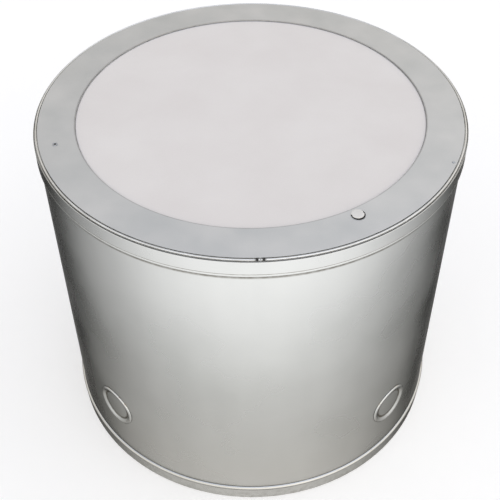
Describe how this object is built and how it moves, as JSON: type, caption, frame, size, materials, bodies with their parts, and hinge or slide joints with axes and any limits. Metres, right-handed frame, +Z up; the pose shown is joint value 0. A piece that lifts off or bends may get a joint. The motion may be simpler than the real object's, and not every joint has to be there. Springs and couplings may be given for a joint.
{
  "type": "timpani drum",
  "caption": "Cylindrical sheet-steel kettledrum with a flat ring rim, recessed pale head, rolled bead, base band and push-in port caps, tuned by internal rods.",
  "frame": {"origin": "on the floor at the centre of the drum's base", "axes": "+Z up along the drum's axis, -Y towards the front where the bead's ends meet, +X to the right"},
  "size_m": [0.7204, 0.7204, 0.6281],
  "materials": {
    "silver_painted_steel": "satin silver paint on rolled sheet steel",
    "ring_silver_paint": "matt silver paint, lightly orange-peeled",
    "bright_bead_steel": "bright rolled wire",
    "white_head_film": "coated satin polyester film",
    "zinc_plated_steel": "bright zinc plate",
    "hoop_aluminium": "mill-finish extrusion",
    "black_rubber": "moulded matt",
    "black_knob_plastic": "moulded, fine spark texture",
    "white_plug_plastic": "moulded satin"
  },
  "bodies": {
    "drum_body": {"shell": "silver_painted_steel", "shell_seam_strap": "silver_painted_steel", "base_band": "silver_painted_steel", "base_plate": "silver_painted_steel", "vent_grommet": "black_rubber", "bearing_ring": "zinc_plated_steel", "drumhead": "white_head_film", "rod_bracket_front_right": "zinc_plated_steel", "rod_bracket_back_right": "zinc_plated_steel", "rod_bracket_back_left": "zinc_plated_steel", "rod_bracket_front_left": "zinc_plated_steel", "port_gasket_front_right": "black_rubber", "port_gasket_back_right": "black_rubber", "port_gasket_back_left": "black_rubber", "port_gasket_front_left": "black_rubber", "knob_washer_front_right": "zinc_plated_steel", "knob_washer_back_right": "zinc_plated_steel", "knob_washer_back_left": "zinc_plated_steel", "knob_washer_front_left": "zinc_plated_steel"},
    "rim": {"rim_ring": "ring_silver_paint", "rim_skirt": "silver_painted_steel", "rim_bead": "bright_bead_steel", "flesh_hoop": "hoop_aluminium", "rim_eyelet": "zinc_plated_steel", "rim_rivet": "zinc_plated_steel", "tension_rod_front_right": "zinc_plated_steel", "tension_rod_back_right": "zinc_plated_steel", "tension_rod_back_left": "zinc_plated_steel", "tension_rod_front_left": "zinc_plated_steel", "rod_lug_front_right": "zinc_plated_steel", "rod_lug_back_right": "zinc_plated_steel", "rod_lug_back_left": "zinc_plated_steel", "rod_lug_front_left": "zinc_plated_steel", "lock_nut_front_right": "zinc_plated_steel", "lock_nut_back_right": "zinc_plated_steel", "lock_nut_back_left": "zinc_plated_steel", "lock_nut_front_left": "zinc_plated_steel"},
    "ring_plug": {"ring_plug": "white_plug_plastic", "plug_washer": "black_rubber"},
    "tuning_knob_front_right": {"tuning_knob_front_right": "black_knob_plastic"},
    "port_cap_front_right": {"port_cap_front_right": "silver_painted_steel"},
    "tuning_knob_back_right": {"tuning_knob_back_right": "black_knob_plastic"},
    "port_cap_back_right": {"port_cap_back_right": "silver_painted_steel"},
    "tuning_knob_back_left": {"tuning_knob_back_left": "black_knob_plastic"},
    "port_cap_back_left": {"port_cap_back_left": "silver_painted_steel"},
    "tuning_knob_front_left": {"tuning_knob_front_left": "black_knob_plastic"},
    "port_cap_front_left": {"port_cap_front_left": "silver_painted_steel"}
  },
  "joints": [
    {"name": "tuning_knob_front_right_turn", "type": "hinge", "parent": "drum_body", "child": "tuning_knob_front_right", "pos_m": [0.23193, -0.23193, 0.1674], "axis": [0, 0, 1], "range_deg": [0, 1440]},
    {"name": "tuning_knob_back_right_turn", "type": "hinge", "parent": "drum_body", "child": "tuning_knob_back_right", "pos_m": [0.23193, 0.23193, 0.1674], "axis": [0, 0, 1], "range_deg": [0, 1440]},
    {"name": "tuning_knob_back_left_turn", "type": "hinge", "parent": "drum_body", "child": "tuning_knob_back_left", "pos_m": [-0.23193, 0.23193, 0.1674], "axis": [0, 0, 1], "range_deg": [0, 1440]},
    {"name": "tuning_knob_front_left_turn", "type": "hinge", "parent": "drum_body", "child": "tuning_knob_front_left", "pos_m": [-0.23193, -0.23193, 0.1674], "axis": [0, 0, 1], "range_deg": [0, 1440]},
    {"name": "rim_slide", "type": "slide", "parent": "drum_body", "child": "rim", "axis": [0, 0, 1], "range_m": [-0.005, 0]},
    {"name": "ring_plug_lift", "type": "slide", "parent": "rim", "child": "ring_plug", "axis": [0, 0, 1], "range_m": [0, 0.02]},
    {"name": "port_cap_front_right_pull", "type": "slide", "parent": "drum_body", "child": "port_cap_front_right", "axis": [0.7071, -0.7071, 0], "range_m": [0, 0.03]},
    {"name": "port_cap_back_right_pull", "type": "slide", "parent": "drum_body", "child": "port_cap_back_right", "axis": [0.7071, 0.7071, 0], "range_m": [0, 0.03]},
    {"name": "port_cap_back_left_pull", "type": "slide", "parent": "drum_body", "child": "port_cap_back_left", "axis": [-0.7071, 0.7071, 0], "range_m": [0, 0.03]},
    {"name": "port_cap_front_left_pull", "type": "slide", "parent": "drum_body", "child": "port_cap_front_left", "axis": [-0.7071, -0.7071, 0], "range_m": [0, 0.03]}
  ],
  "couplings": [
    {"joint": "tuning_knob_front_right_turn", "follows": "rim_slide", "rad_per_m": -5026.5},
    {"joint": "tuning_knob_back_right_turn", "follows": "rim_slide", "rad_per_m": -5026.5},
    {"joint": "tuning_knob_back_left_turn", "follows": "rim_slide", "rad_per_m": -5026.5},
    {"joint": "tuning_knob_front_left_turn", "follows": "rim_slide", "rad_per_m": -5026.5}
  ]
}
